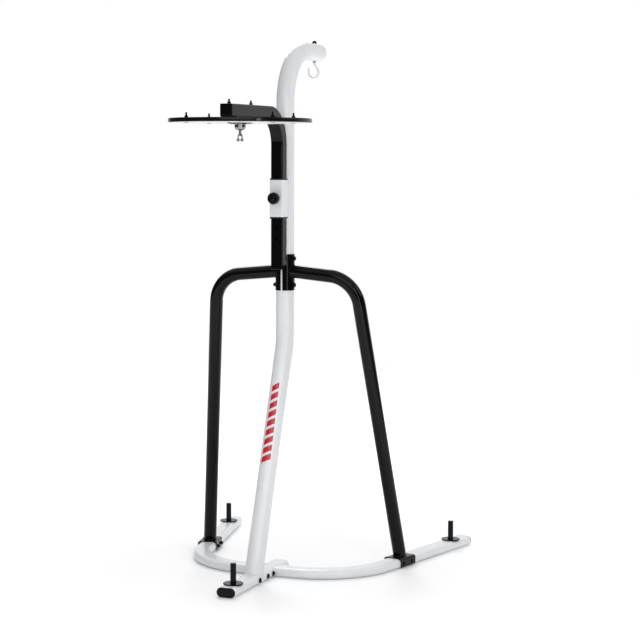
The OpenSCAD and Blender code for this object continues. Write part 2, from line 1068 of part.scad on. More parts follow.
// Bow of round wire through the eye, with an ear at the end of each leg
module swivel_shackle() {
  color(zinc)
    at_swivel()
      difference() {
        union() {
          for (s = [-1, 1])
            side(s)
              translate([shackle_r, 0, 0]) {
                translate([0, 0, link_z])
                  rod_x(11, -ear_half, ear_half);
                rod(shackle_wire, link_z + 4, eye_z - shackle_r);
              }
          translate([0, 0, eye_z - shackle_r])
            rotate([90, 0, 0])
              rotate_extrude(angle = 180)
                translate([shackle_r, 0])
                  circle(d = shackle_wire);
        }
        translate([0, 0, link_z])
          rod_x(5.1, -20, 20);
      }
}

// Cross pin that the speed bag's loop hangs on
module shackle_pin() {
  ear = shackle_r + ear_half;
  color(zinc)
    at_swivel()
      translate([0, 0, link_z]) {
        rod_x(5, -ear - 2.5, ear + 2.5);
        for (s = [-1, 1])
          side(s)
            rod_x(8.5, ear + 0.1, ear + 2.5);
      }
}

foot_tube();
foot_front_cap();
foot_rear_cap();
base_right_arm();
base_left_arm();
right_arm_cap();
left_arm_cap();
front_weight_peg();
right_weight_peg();
left_weight_peg();
front_peg_flange();
right_peg_flange();
left_peg_flange();
lower_upright();
upright_tongue();
foot_bolts();
foot_nuts();
right_leg();
left_leg();
right_half_collar();
left_half_collar();
collar_bolts();
collar_nuts();
right_saddle();
left_saddle();
saddle_bolts();
saddle_nuts();
upper_mast();
mast_splice();
mast_end_cap();
bag_hook();
hook_cap_nut();
hook_washer();
hook_lock_nut();
height_sleeve();
sleeve_top_bushing();
sleeve_bottom_bushing();
plunger_barrel();
plunger_pin();
plunger_knob();
plunger_spring();
speed_arm();
post_plug();
beam_plug();
platform_crossbars();
platform_board();
board_edge_band();
platform_bolts();
platform_nuts();
beam_bolts();
beam_nuts();
swivel_plate();
swivel_screws();
swivel_cup();
swivel_rotor();
swivel_shackle();
shackle_pin();
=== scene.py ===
import json
import math

import bmesh
import bpy
from mathutils import Matrix, Vector


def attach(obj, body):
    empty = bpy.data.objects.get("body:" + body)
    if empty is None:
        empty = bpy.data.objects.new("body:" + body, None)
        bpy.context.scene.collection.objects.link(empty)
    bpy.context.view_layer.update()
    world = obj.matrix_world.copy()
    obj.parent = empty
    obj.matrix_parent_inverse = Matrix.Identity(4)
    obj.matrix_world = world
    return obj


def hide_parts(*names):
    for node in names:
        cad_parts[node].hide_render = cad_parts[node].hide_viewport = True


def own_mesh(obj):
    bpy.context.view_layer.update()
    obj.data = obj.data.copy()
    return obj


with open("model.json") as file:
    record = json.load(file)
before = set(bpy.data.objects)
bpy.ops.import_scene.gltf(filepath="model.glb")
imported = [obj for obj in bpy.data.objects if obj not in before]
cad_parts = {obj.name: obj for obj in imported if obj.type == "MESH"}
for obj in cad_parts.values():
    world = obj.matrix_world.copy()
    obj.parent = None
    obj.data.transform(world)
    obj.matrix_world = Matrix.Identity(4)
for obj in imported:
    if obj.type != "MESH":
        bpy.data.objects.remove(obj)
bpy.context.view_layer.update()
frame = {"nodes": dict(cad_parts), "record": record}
scene = bpy.context.scene

# ---------- camera, floor and light ----------

CAMERA_TARGET = Vector((0.1306, 0.0520, 1.0072))
CAMERA_DISTANCE = 7.2887
CAMERA_AZIMUTH, CAMERA_ELEVATION, CAMERA_ROLL = (math.radians(v) for v in (21.718, 5.092, 0.182))
CAMERA_LENS, CAMERA_SENSOR = 101.96, 36.0
FLOOR_RADIUS, FLOOR_DROP = 7.0, 0.0004


def make_camera():
    """Looks at the target from its azimuth and elevation, turned by the roll about the line of sight."""
    a, e, roll = CAMERA_AZIMUTH, CAMERA_ELEVATION, CAMERA_ROLL
    right = Vector((math.cos(a), math.sin(a), 0))
    back = Vector((math.sin(a) * math.cos(e), -math.cos(a) * math.cos(e), math.sin(e)))
    up = back.cross(right)
    x_axis = math.cos(roll) * right + math.sin(roll) * up
    y_axis = back.cross(x_axis)
    data = bpy.data.cameras.new("camera")
    data.lens, data.sensor_width = CAMERA_LENS, CAMERA_SENSOR
    data.clip_end = 100
    camera = bpy.data.objects.new("camera", data)
    turn = Matrix((x_axis, y_axis, back)).transposed().to_4x4()
    camera.matrix_world = Matrix.Translation(CAMERA_TARGET + back * CAMERA_DISTANCE) @ turn
    scene.collection.objects.link(camera)
    scene.camera = camera


def area_light(name, place, target, width, height, radiance):
    """A softbox that shines from place towards target."""
    data = bpy.data.lights.new(name, "AREA")
    data.shape = "RECTANGLE"
    data.size, data.size_y = width, height
    data.energy = radiance * math.pi * width * height
    light = bpy.data.objects.new(name, data)
    light.location = place
    aim = Vector(target) - Vector(place)
    light.rotation_euler = aim.to_track_quat("-Z", "Y").to_euler()
    light.visible_camera = False
    scene.collection.objects.link(light)


def make_world():
    """White for the eye; for the light, a studio that is bright behind and above and dark in front."""
    world = bpy.data.worlds.new("studio")
    scene.world = world
    world.use_nodes = True
    tree = Tree(world.node_tree)
    tree.clear()
    direction = tree.add("ShaderNodeTexCoord").outputs["Generated"]
    split = tree.add("ShaderNodeSeparateXYZ", Vector=direction)
    behind = tree.ramp(split.outputs["Y"], 0.45, 0.80, 0.0, 0.90)
    above = tree.ramp(split.outputs["Z"], 0.20, 0.90, 0.0, 1.0)
    bright = tree.math("MAXIMUM", behind, above)
    level = tree.ramp(bright, 0.0, 1.0, 0.12, 1.10)
    studio = tree.add("ShaderNodeBackground", Strength=level)
    seen = tree.add("ShaderNodeBackground", Color=(1, 1, 1, 1), Strength=1.0)
    eye = tree.add("ShaderNodeLightPath").outputs["Is Camera Ray"]
    mixed = tree.add("ShaderNodeMixShader", Fac=eye)
    tree.link(studio.outputs[0], mixed.inputs[1])
    tree.link(seen.outputs[0], mixed.inputs[2])
    tree.link(mixed.outputs[0], tree.add("ShaderNodeOutputWorld").inputs["Surface"])


def make_floor():
    """Pale disc that glows away from its centre: it ends in white and keeps the shadows under the base."""
    bm = bmesh.new()
    bmesh.ops.create_circle(bm, cap_ends=True, segments=96, radius=FLOOR_RADIUS)
    mesh = bpy.data.meshes.new("floor")
    bm.to_mesh(mesh)
    bm.free()
    floor = bpy.data.objects.new("floor", mesh)
    floor.location.z = -FLOOR_DROP
    scene.collection.objects.link(floor)
    material, tree, shader = shader_material("floor_paint_and_glow", (0.88, 0.88, 0.885), 0.55)
    shader.inputs["Emission Color"].default_value = (1, 1, 1, 1)
    # painted light: the floor glows, faintly near the base and more strongly far from it, so that it ends in
    # white
    from_centre = tree.add("ShaderNodeVectorMath", Vector=tree.place())
    from_centre.operation = "LENGTH"
    glow = tree.ramp(from_centre.outputs["Value"], 0.5, 2.0, 0.06, 0.50)
    tree.link(glow, shader.inputs["Emission Strength"])
    grain = tree.noise(3, 3)
    tree.link(tree.ramp(grain, 0.3, 0.7, 0.5, 0.6), shader.inputs["Roughness"])
    mesh.materials.append(material)


# ---------- node trees and materials ----------


class Tree:
    """Short names for what the materials below build from."""

    def __init__(self, tree):
        self.tree = tree

    def clear(self):
        self.tree.nodes.clear()

    def link(self, source, target):
        self.tree.links.new(source, target)

    def add(self, kind, **values):
        node = self.tree.nodes.new(kind)
        for name, value in values.items():
            if isinstance(value, bpy.types.NodeSocket):
                self.link(value, node.inputs[name])
            else:
                node.inputs[name].default_value = value
        return node

    def place(self, stretch=(1, 1, 1)):
        """Where the surface is on its own piece, in metres, so that the pattern moves with it."""
        where = self.add("ShaderNodeTexCoord").outputs["Object"]
        return self.add("ShaderNodeMapping", Vector=where, Scale=stretch).outputs[0]

    def noise(self, scale, detail, stretch=(1, 1, 1)):
        node = self.add("ShaderNodeTexNoise", Vector=self.place(stretch), Scale=scale, Detail=detail)
        return node.outputs[0]

    def ramp(self, value, low, high, out_low, out_high):
        """Smooth step from out_low to out_high while value goes from low to high."""
        node = self.add("ShaderNodeMapRange", Value=value)
        node.interpolation_type = "SMOOTHSTEP"
        for name, number in zip(("From Min", "From Max", "To Min", "To Max"), (low, high, out_low, out_high)):
            node.inputs[name].default_value = number
        return node.outputs[0]

    def math(self, operation, a, b):
        node = self.tree.nodes.new("ShaderNodeMath")
        node.operation = operation
        for socket, value in zip(node.inputs, (a, b)):
            if isinstance(value, bpy.types.NodeSocket):
                self.link(value, socket)
            else:
                socket.default_value = value
        return node.outputs[0]

    def mix(self, share, a, b):
        """Colour between a and b."""
        node = self.tree.nodes.new("ShaderNodeMix")
        node.data_type = "RGBA"
        for name, value in (("Factor", share), ("A", a), ("B", b)):
            kind = "VALUE" if name == "Factor" else "RGBA"
            socket = next(s for s in node.inputs if s.name == name and s.type == kind)
            if isinstance(value, bpy.types.NodeSocket):
                self.link(value, socket)
            else:
                socket.default_value = value if name == "Factor" else (*value, 1)
        return next(s for s in node.outputs if s.type == "RGBA")

    def bump(self, height, strength, distance, under=None):
        node = self.add("ShaderNodeBump", Height=height, Strength=strength, Distance=distance)
        if under is not None:
            self.link(under, node.inputs["Normal"])
        return node.outputs[0]


def shader_material(name, color, roughness, metallic=0.0, coat=0.0, coat_roughness=0.05, specular=0.5):
    """A material with its constants set on the shader itself."""
    material = bpy.data.materials.new(name)
    material.use_nodes = True
    tree = Tree(material.node_tree)
    shader = material.node_tree.nodes["Principled BSDF"]
    shader.inputs["Base Color"].default_value = (*color, 1)
    shader.inputs["Roughness"].default_value = roughness
    shader.inputs["Metallic"].default_value = metallic
    shader.inputs["Specular IOR Level"].default_value = specular
    shader.inputs["Coat Weight"].default_value = coat
    shader.inputs["Coat Roughness"].default_value = coat_roughness
    return material, tree, shader


def scaled(color, factor):
    """The same colour, darker or lighter."""
    return tuple(c * factor for c in color)


def powder_coat(name, color, worn, roughness, coat, coat_roughness, peel=0.12, specular=0.5):
    """Sprayed and baked paint: slow tint drift, dust in patches, fine scratches and orange peel."""
    material, tree, shader = shader_material(name, color, roughness, 0.0, coat, coat_roughness, specular)
    drift = tree.ramp(tree.noise(2.5, 3), 0.3, 0.7, 0.0, 1.0)
    tinted = tree.mix(drift, color, scaled(color, 0.965))
    dust = tree.ramp(tree.noise(26, 6), 0.60, 0.80, 0.0, 0.30)
    dusty = tree.mix(dust, tinted, worn)
    scratch_field = tree.noise(60, 4, (1, 1, 0.06))
    scratches = tree.ramp(scratch_field, 0.695, 0.73, 0.0, 0.35)
    tree.link(tree.mix(scratches, dusty, worn), shader.inputs["Base Color"])
    rough = tree.ramp(tree.noise(14, 5), 0.25, 0.75, roughness * 0.85, roughness * 1.2)
    tree.link(tree.math("ADD", rough, tree.math("MULTIPLY", scratches, 0.3)), shader.inputs["Roughness"])
    fine = tree.bump(tree.noise(1400, 2), peel * 0.6, 0.00008)
    tree.link(tree.bump(tree.noise(330, 2), peel, 0.0002, fine), shader.inputs["Normal"])
    return material


RUBBED_BLACK = (0.010, 0.0103, 0.011)


def plastic(name, color, roughness, grain=2200, strength=0.16, specular=0.3):
    """Moulded plastic with a spark-eroded grain, flow marks and rubbed patches."""
    material, tree, shader = shader_material(name, color, roughness, specular=specular)
    flow = tree.ramp(tree.noise(18, 4), 0.3, 0.7, 0.0, 1.0)
    rubbed = tree.ramp(tree.noise(75, 5), 0.62, 0.80, 0.0, 0.35)
    base = tree.mix(flow, color, scaled(color, 1.3))
    tree.link(tree.mix(rubbed, base, RUBBED_BLACK), shader.inputs["Base Color"])
    uneven = tree.ramp(tree.noise(40, 4), 0.25, 0.75, roughness * 0.8, roughness * 1.25)
    tree.link(uneven, shader.inputs["Roughness"])
    tree.link(tree.bump(tree.noise(grain, 2), strength, 0.0001), shader.inputs["Normal"])
    return material


def plated_steel(name, color, roughness, cloud=0.12, scratch=0.25):
    """Zinc or chrome plate: clouded tint, hairline scratches and uneven gloss."""
    material, tree, shader = shader_material(name, color, roughness, metallic=1.0)
    clouds = tree.ramp(tree.noise(55, 5), 0.3, 0.7, 0.0, 1.0)
    tree.link(tree.mix(clouds, color, scaled(color, 1 - cloud)), shader.inputs["Base Color"])
    hair = tree.noise(240, 3, (1, 1, 0.05))
    tree.link(tree.ramp(hair, 0.3, 0.7, roughness * 0.75, roughness * 1.35), shader.inputs["Roughness"])
    tree.link(tree.bump(hair, scratch, 0.00005), shader.inputs["Normal"])
    return material


def melamine(name, color):
    """Painted board: faint pressed grain and a soft cloudiness."""
    material, tree, shader = shader_material(name, color, 0.42)
    clouds = tree.ramp(tree.noise(5, 4), 0.3, 0.7, 0.0, 1.0)
    specks = tree.ramp(tree.noise(420, 3), 0.68, 0.80, 0.0, 0.35)
    base = tree.mix(clouds, color, scaled(color, 0.97))
    tree.link(tree.mix(specks, base, scaled(color, 0.80)), shader.inputs["Base Color"])
    tree.link(tree.ramp(tree.noise(60, 4), 0.3, 0.7, 0.36, 0.5), shader.inputs["Roughness"])
    tree.link(tree.bump(tree.noise(900, 3, (1, 0.25, 1)), 0.14, 0.0001), shader.inputs["Normal"])
    return material


def printed_vinyl(name, color):
    """Red film: slightly mottled ink under a satin face, with a fine print screen."""
    material, tree, shader = shader_material(name, color, 0.3, coat=0.4, coat_roughness=0.08)
    mottle = tree.ramp(tree.noise(90, 4), 0.3, 0.7, 0.0, 1.0)
    tree.link(tree.mix(mottle, color, scaled(color, 0.86)), shader.inputs["Base Color"])
    tree.link(tree.ramp(tree.noise(150, 3), 0.3, 0.7, 0.25, 0.36), shader.inputs["Roughness"])
    tree.link(tree.bump(tree.noise(1500, 2), 0.08, 0.00005), shader.inputs["Normal"])
    return material


WHITE_COAT, WORN_WHITE = (0.75, 0.765, 0.785), (0.62, 0.63, 0.64)
BLACK_COAT, WORN_BLACK = (0.0022, 0.0022, 0.0025), (0.009, 0.0093, 0.010)
MATERIALS = {
    "white_paint": powder_coat("white_paint", WHITE_COAT, WORN_WHITE, 0.34, 0.45, 0.10),
    "black_paint": powder_coat("black_paint", BLACK_COAT, WORN_BLACK, 0.11, 0.0, 0.04, 0.05, 0.16),
    "black_plastic": plastic("black_plastic", (0.0022, 0.0022, 0.0026), 0.17, specular=0.18),
    "black_fastener": plastic("black_fastener", (0.0025, 0.0025, 0.003), 0.20, 1200, 0.08, 0.16),
    "zinc_steel": plated_steel("zinc_steel", (0.60, 0.61, 0.62), 0.32),
    "chrome": plated_steel("chrome", (0.27, 0.275, 0.285), 0.08, 0.15, 0.08),
    "white_board": melamine("white_board", (0.70, 0.71, 0.72)),
    "edge_band": plastic("edge_band", (0.0035, 0.0035, 0.004), 0.16, 1600, 0.05, 0.25),
}
RED_FILM = printed_vinyl("red_film", (0.56, 0.012, 0.022))


def paint_cad_nodes():
    """Gives every CAD node its slot's material."""
    for part in frame["record"]["subparts"]:
        node = frame["nodes"][part["node"]]
        material = MATERIALS[part["material_slot"]]
        if not node.material_slots:
            node.data.materials.append(material)
        for slot in node.material_slots:
            slot.material = material


# ---------- mesh building, in millimetres ----------


def bridge(bm, lower, upper):
    """Faces between two rings of vertices; a ring of one vertex is a tip."""
    for k in range(max(len(lower), len(upper))):
        corners = [lower[k % len(lower)], lower[(k + 1) % len(lower)]]
        corners += [upper[(k + 1) % len(upper)], upper[k % len(upper)]]
        bm.faces.new(list(dict.fromkeys(corners)))


def stack(bm, rings, closed=False):
    """Skin over rings of vertices. Open ends are capped."""
    for lower, upper in zip(rings, rings[1:]):
        bridge(bm, lower, upper)
    if closed:
        bridge(bm, rings[-1], rings[0])
        return
    for ring in (rings[0], rings[-1]):
        if len(ring) > 2:
            bm.faces.new(ring)


def hexagon(corner, limit, angle):
    """Radius at angle of a hexagon whose corners are cut off by a circle."""
    return min(limit, corner * math.cos(math.pi / 6) / math.cos(angle % (math.pi / 3) - math.pi / 6))


def lathe(bm, profile, place, segments=48, closed=False):
    """Turns a profile of (radius, height), or of (corner, height, limit) where the section is a hexagon."""
    rings = []
    for radius, height, *limit in profile:
        angles = [math.tau * k / segments for k in range(segments)] if radius else [0]
        reach = [hexagon(radius, limit[0], a) if limit else radius for a in angles]
        points = [Vector((r * math.cos(a), r * math.sin(a), height)) for r, a in zip(reach, angles)]
        rings.append([bm.verts.new(place @ p) for p in points])
    stack(bm, rings, closed)


def sweep(bm, points, radius, closed, sides=10):
    """A tube along points; radius(i) is its radius at point i."""
    count = len(points)
    rings = []
    normal = None
    for i, point in enumerate(points):
        ahead = points[(i + 1) % count] if closed or i + 1 < count else point
        behind = points[i - 1] if closed or i else point
        along = (ahead - behind).normalized()
        normal = along.orthogonal() if normal is None else normal - along * normal.dot(along)
        normal.normalize()
        side = along.cross(normal)
        angles = [math.tau * k / sides for k in range(sides)]
        offsets = [math.cos(a) * normal + math.sin(a) * side for a in angles]
        rings.append([bm.verts.new(point + radius(i) * offset) for offset in offsets])
    stack(bm, rings, closed)


def flat_oval(width, height, inset, steps=20):
    """Outline of the base tube, drawn in by inset."""
    radius, half = height / 2 - inset, (width - height) / 2
    ends = ((1, -90), (-1, 90))
    angles = [(side, math.radians(start + 180 * k / steps)) for side, start in ends for k in range(steps + 1)]
    return [(side * half + radius * math.cos(a), radius * math.sin(a)) for side, a in angles]


def round_square(width, corner, inset, steps=8):
    """Outline of the arm tube, drawn in by inset."""
    radius, half = max(corner - inset, 0.4), width / 2 - corner
    half += min(corner - inset - 0.4, 0)
    outline = []
    for quarter, (sx, sy) in enumerate(((1, 1), (-1, 1), (-1, -1), (1, -1))):
        for k in range(steps + 1):
            a = math.radians(90 * quarter + 90 * k / steps)
            outline.append((sx * half + radius * math.cos(a), sy * half + radius * math.sin(a)))
    return outline


def loft(bm, outlines, place, closed=False):
    """Skin over flat outlines, each with its depth."""
    rings = [[bm.verts.new(place @ Vector((x, y, depth))) for x, y in outline] for outline, depth in outlines]
    stack(bm, rings, closed)


def facing(origin, outward, up=(0, 0, 1)):
    """Places local +Z along outward and local +Y along up."""
    z_axis = Vector(outward).normalized()
    x_axis = Vector(up).cross(z_axis).normalized()
    turn = Matrix((x_axis, z_axis.cross(x_axis), z_axis)).transposed().to_4x4()
    return Matrix.Translation(Vector(origin)) @ turn


def piece(name, bm, material, body, stands_for=(), crease=38):
    """Turns a mesh in millimetres into a piece that rides on a body."""
    bmesh.ops.recalc_face_normals(bm, faces=bm.faces)
    bm.transform(Matrix.Scale(0.001, 4))
    mesh = bpy.data.meshes.new(name)
    bm.to_mesh(mesh)
    bm.free()
    mesh.shade_smooth()
    mesh.set_sharp_from_angle(angle=math.radians(crease))
    obj = bpy.data.objects.new(name, mesh)
    scene.collection.objects.link(obj)
    mesh.materials.append(material)
    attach(obj, body)
    if stands_for:
        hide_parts(*stands_for)
    return obj


# ---------- the stand's own sizes, as in the CAD ----------

# Base: flat-oval tube, bow with splayed arms, centre foot, weight pegs
BASE_W, BASE_T = 76, 38
SIDE_Z = BASE_T / 2
BOW_Y, BOW_REAR, SPLAY = -155, 690, math.radians(13.2)
FOOT_FRONT, FOOT_REAR = -571, -50
PEG_FRONT, PEG_REAR, PEG_X = -505, 588, 519
PEG_WELD_R, PEG_WELD_Z = 11.9, 43.2

# Mast and its lower, leaning part; the end of the bag arm
MAST_R = 36
LEAN, LEAN_Z = math.radians(19.5), 917
BAG_ARM_END, BAG_ARM_Z = 350, 2089

# Legs, with the collar at their top and the saddles at their foot
LEG_R, LEG_CORNER_X, LEG_CORNER_Z, LEG_TOP_Z = 26.5, 300, 1179, 1207
LEG_FOOT_Y, SADDLE_TOP = 197, 41
COLLAR_R, COLLAR_BOLT_Z = 38.65, (1149, 1255)

# Square post, its sleeve and the locking plunger
POST_Y, POST_W, POST_CORNER, POST_Z0 = -65.05, 50, 6, 1218
SLEEVE_Z0, SLEEVE_Z1, SLEEVE_W, SLEEVE_CORNER = 1423, 1569, 58, 8
SLEEVE_FACE, PIN_Z, PIN_COLLAR_Y, KNOB_BORE_R = -94.05, 1497, -96.85, 5.05

# Beam, cross bars and platform
BEAM_Z, BEAM_TOP, BEAM_END = 1831, 1856, -562
BAR_X, BAR_Y, BAR_T = 176, 100, 3
BOARD_Y, BOARD_Z0, BOARD_Z1, BOARD_R = -438, 1787, 1803, 271


def arm_x(y):
    """Where the right base arm's centreline is at depth y."""
    return PEG_X + math.tan(SPLAY) * (y - PEG_REAR)


def arm_frame(side, y, height=0.0):
    """Frame on a base arm, local +Y along the arm to the rear; side is 1 right and -1 left."""
    origin = Matrix.Translation((side * arm_x(y), y, height))
    return origin @ Matrix.Rotation(-side * SPLAY, 4, "Z")


def upright_y(z):
    """Where the leaning tube's axis is at height z."""
    return -(LEAN_Z - z) * math.tan(LEAN)


def foot_surface(x):
    """Height of the foot tube's upper skin at x."""
    over = max(abs(x) - (BASE_W - BASE_T) / 2, 0)
    return SIDE_Z + math.sqrt(max(SIDE_Z**2 - over**2, 0))


# ---------- welds ----------


def ripple(size, step=3):
    """Bead radius that swells at every few points, as a hand-laid weld does."""
    return lambda i: size * (0.88 + 0.16 * abs(math.sin(math.pi * i / step)))


def ring_angles(count):
    """Angles of count points round a circle."""
    return [math.tau * k / count for k in range(count)]


def dense(points, step):
    """The same line with points about step apart."""
    line = []
    for a, b in zip(points, points[1:]):
        count = max(1, round((b - a).length / step))
        line += [a.lerp(b, k / count) for k in range(count)]
    return line + [points[-1]]


def line_hits(origin, direction, radius, count, solve):
    """Points where a round tube's own lines meet a surface; solve(point, direction) gives the run to it."""
    direction = Vector(direction).normalized()
    across = direction.orthogonal().normalized()
    side = direction.cross(across)
    hits = []
    for a in ring_angles(count):
        start = Vector(origin) + radius * (math.cos(a) * across + math.sin(a) * side)
        hits.append(start + direction * solve(start, direction))
    return hits


def make_white_welds():
    """Beads round the foot of the upright, where the bow meets the foot, and down the sleeve's two seams."""
    bm = bmesh.new()
    loop = []
    for a in ring_angles(150):
        x = MAST_R * math.cos(a)
        z = foot_surface(x)
        loop.append(Vector((x, upright_y(z) + MAST_R * math.sin(a) / math.cos(LEAN), z + 0.6)))
    sweep(bm, loop, ripple(3.0), closed=True)
    for side in (-1, 1):
        outline = [(u, v) for u, v in flat_oval(BASE_W, BASE_T, 0, 36) if v > -11]
        reach = [(BASE_W - BASE_T) / 2 + math.sqrt(max(SIDE_Z**2 - v**2, 0)) for _, v in outline]
        line = [Vector((side * (x + 0.6), BOW_Y + u, SIDE_Z + v)) for x, (u, v) in zip(reach, outline)]
        sweep(bm, dense(line, 2.0), ripple(2.4), closed=False)
    piece("base_welds", bm, MATERIALS["white_paint"], "stand")
    bm = bmesh.new()
    for side in (-1, 1):
        line = [Vector((side * 13.5, -35.0, z)) for z in (SLEEVE_Z0 + 8, SLEEVE_Z1 - 8)]
        sweep(bm, dense(line, 2.0), ripple(2.7), closed=False)
    piece("sleeve_welds", bm, MATERIALS["white_paint"], "stand")


def to_cylinder(radius):
    """How far a point runs along a direction to an upright cylinder about the mast's axis."""

    def solve(point, direction):
        a = direction.x**2 + direction.y**2
        b = point.x * direction.x + point.y * direction.y
        c = point.x**2 + point.y**2 - radius**2
        return (-b + math.sqrt(b * b - a * c)) / a

    return solve


def make_black_welds():
    """Beads where the legs meet their saddles and the collar, and round the foot of each peg."""
    bm = bmesh.new()
    for side in (-1, 1):
        foot = Vector((side * arm_x(LEG_FOOT_Y), LEG_FOOT_Y, BASE_T))
        run = foot - Vector((side * LEG_CORNER_X, 0, LEG_CORNER_Z))
        loop = line_hits(foot, run, LEG_R, 120, lambda p, d: (SADDLE_TOP + 0.5 - p.z) / d.z)
        sweep(bm, loop, ripple(2.6), closed=True)
        out = (side * LEG_CORNER_X, 0, LEG_CORNER_Z - LEG_TOP_Z)
        loop = line_hits((0, 0, LEG_TOP_Z), out, LEG_R, 120, to_cylinder(COLLAR_R + 0.4))
        sweep(bm, loop, ripple(2.4), closed=True)
    piece("leg_welds", bm, MATERIALS["black_paint"], "stand")
    bm = bmesh.new()
    circle = [(PEG_WELD_R * math.cos(a), PEG_WELD_R * math.sin(a)) for a in ring_angles(72)]
    for x, y in ((0, PEG_FRONT), (arm_x(PEG_REAR), PEG_REAR), (-arm_x(PEG_REAR), PEG_REAR)):
        loop = [Vector((x + u, y + v, PEG_WELD_Z)) for u, v in circle]
        sweep(bm, loop, ripple(1.3), closed=True, sides=8)
    piece("peg_welds", bm, MATERIALS["black_paint"], "stand")


# ---------- fasteners ----------


def bolt(bm, place, d, head_d, head_h, length):
    """Low round head with a hexagon socket, lying on z = 0; the shank's threaded end is at z = -length."""
    r, head = d / 2, head_d / 2
    pitch, turns = 1.25, 9
    profile = [(0, -length), (r - 0.9, -length)]
    for k in range(turns):
        z = -length + 0.9 + pitch * k
        profile += [(r - 0.55, z), (r, z + 0.6)]
    profile += [(r, 0), (head, 0), (head, head_h * 0.30)]
    last = math.radians(75)
    for k in range(1, 7):
        a = math.radians(75 * k / 6)
        rise = math.sin(a) / math.sin(last)
        profile.append((head * (0.42 + 0.58 * math.cos(a)), head_h * (0.30 + 0.70 * rise)))
    socket, floor = head * 0.40, head_h * 0.35
    profile += [(socket * 1.08, head_h), (socket, head_h * 0.94, socket * 0.98)]
    profile += [(socket, floor, socket), (0, floor)]
    lathe(bm, profile, place)


def nut(bm, place, d, across, height):
    """Hexagon nut with chamfered corners, lying on z = 0."""
    corner, bore = across / 2 / math.cos(math.pi / 6), d / 2 + 0.05
    flat = across / 2 * 0.99
    profile = [(bore + 0.5, 0), (corner, 0, flat)]
    profile += [(corner, height * 0.12, corner), (corner, height * 0.88, corner)]
    profile += [(corner, height, flat), (bore + 0.5, height), (bore, height - 0.6), (bore, 0.6)]
    lathe(bm, profile, place, closed=True)


def fasteners(label, kind, body, places, build, *sizes):
    """One piece for a node of like bolts or nuts; build draws one of them at a place."""
    bm = bmesh.new()
    for place in places:
        build(bm, place, *sizes)
    names = (f"{label}_{kind}_set", f"{label}_{kind}s")
    piece(names[0], bm, MATERIALS["black_fastener"], body, names[1:], crease=32)


def make_fasteners():
    """Every bolt and nut, head or nut face down on the part that it clamps."""
    foot_y = (-339, -260, -207)
    right = [facing((BASE_W / 2, y, SIDE_Z), (1, 0, 0)) for y in foot_y]
    left = [facing((-BASE_W / 2, y, SIDE_Z), (-1, 0, 0)) for y in foot_y]
    fasteners("foot", "bolt", "stand", right, bolt, 10, 20, 6, BASE_W + 12)
    fasteners("foot", "nut", "stand", left, nut, 10, 17, 8)
    right = [facing((COLLAR_R, 0, z), (1, 0, 0)) for z in COLLAR_BOLT_Z]
    left = [facing((-COLLAR_R, 0, z), (-1, 0, 0)) for z in COLLAR_BOLT_Z]
    fasteners("collar", "bolt", "stand", right, bolt, 10, 19, 7, 2 * COLLAR_R + 12)
    fasteners("collar", "nut", "stand", left, nut, 10, 16, 8)
    outer, inner = [], []
    for side in (-1, 1):
        for step in (-30, 30):
            spot = arm_frame(side, LEG_FOOT_Y, SIDE_Z)
            face = BASE_W / 2 + 3.1
            away = spot.to_3x3() @ Vector((side, 0, 0))
            outer.append(facing(spot @ Vector((side * face, step, 0)), away))
            inner.append(facing(spot @ Vector((-side * face, step, 0)), -away))
    fasteners("saddle", "bolt", "stand", outer, bolt, 8, 17, 5, BASE_W + 16)
    fasteners("saddle", "nut", "stand", inner, nut, 8, 13, 6.5)
    sets = (("platform", (-BAR_X, BAR_X), 38, BOARD_Z1 + BAR_T), ("beam", (0,), 86, BEAM_TOP))
    for label, xs, length, top in sets:
        spots = [(x, BOARD_Y + y) for x in xs for y in (-BAR_Y, BAR_Y)]
        low = [facing((x, y, BOARD_Z0), (0, 0, -1), (0, 1, 0)) for x, y in spots]
        high = [facing((x, y, top), (0, 0, 1), (0, 1, 0)) for x, y in spots]
        fasteners(label, "bolt", "speed_bag_arm", low, bolt, 8, 18, 1.5, length)
        fasteners(label, "nut", "speed_bag_arm", high, nut, 8, 13, 7)


# ---------- moulded parts ----------


def rounding(radius, depth, steps=6):
    """(inset, depth) pairs of a rounded outer edge that ends flat at depth."""
    turns = [math.radians(90 * k / steps) for k in range(steps + 1)]
    return [(radius * (1 - math.cos(a)), depth - radius * (1 - math.sin(a))) for a in turns]


def base_cap(name, node, place, thick, edge):
    """Cap with a plug, its outer edge rounded by edge."""
    bm = bmesh.new()
    stations = [(2.6, -14), (2.6, 0), (0.0, 0.0)] + rounding(edge, thick)
    loft(bm, [(flat_oval(BASE_W, BASE_T, inset), depth) for inset, depth in stations], place)
    piece(name, bm, MATERIALS["black_plastic"], "stand", (node,))


def square_cap(name, node, place):
    """The same for the square arm tube."""
    bm = bmesh.new()
    stations = [(2.6, -14), (2.6, 0), (0.0, 0.0)] + rounding(2.2, 3.0)
    loft(bm, [(round_square(POST_W, POST_CORNER, inset), depth) for inset, depth in stations], place)
    piece(name, bm, MATERIALS["black_plastic"], "speed_bag_arm", (node,))


def bushing(name, node, place):
    """Liner with a rounded rim over the end of the sleeve; the rim is at local z = 0 and above."""
    bm = bmesh.new()
    outer = [(3.1, -24.0), (3.1, 0.0), (0.0, 0.0)] + rounding(2.4, 7.0)
    rings = [(round_square(SLEEVE_W, SLEEVE_CORNER, inset), depth) for inset, depth in outer]
    inner = ((-0.8, 7.0), (0, 6.0), (0, -24.0))
    rings += [(round_square(POST_W + 0.6, POST_CORNER, inset), depth) for inset, depth in inner]
    loft(bm, rings, place, closed=True)
    piece(name, bm, MATERIALS["black_plastic"], "stand", (node,))


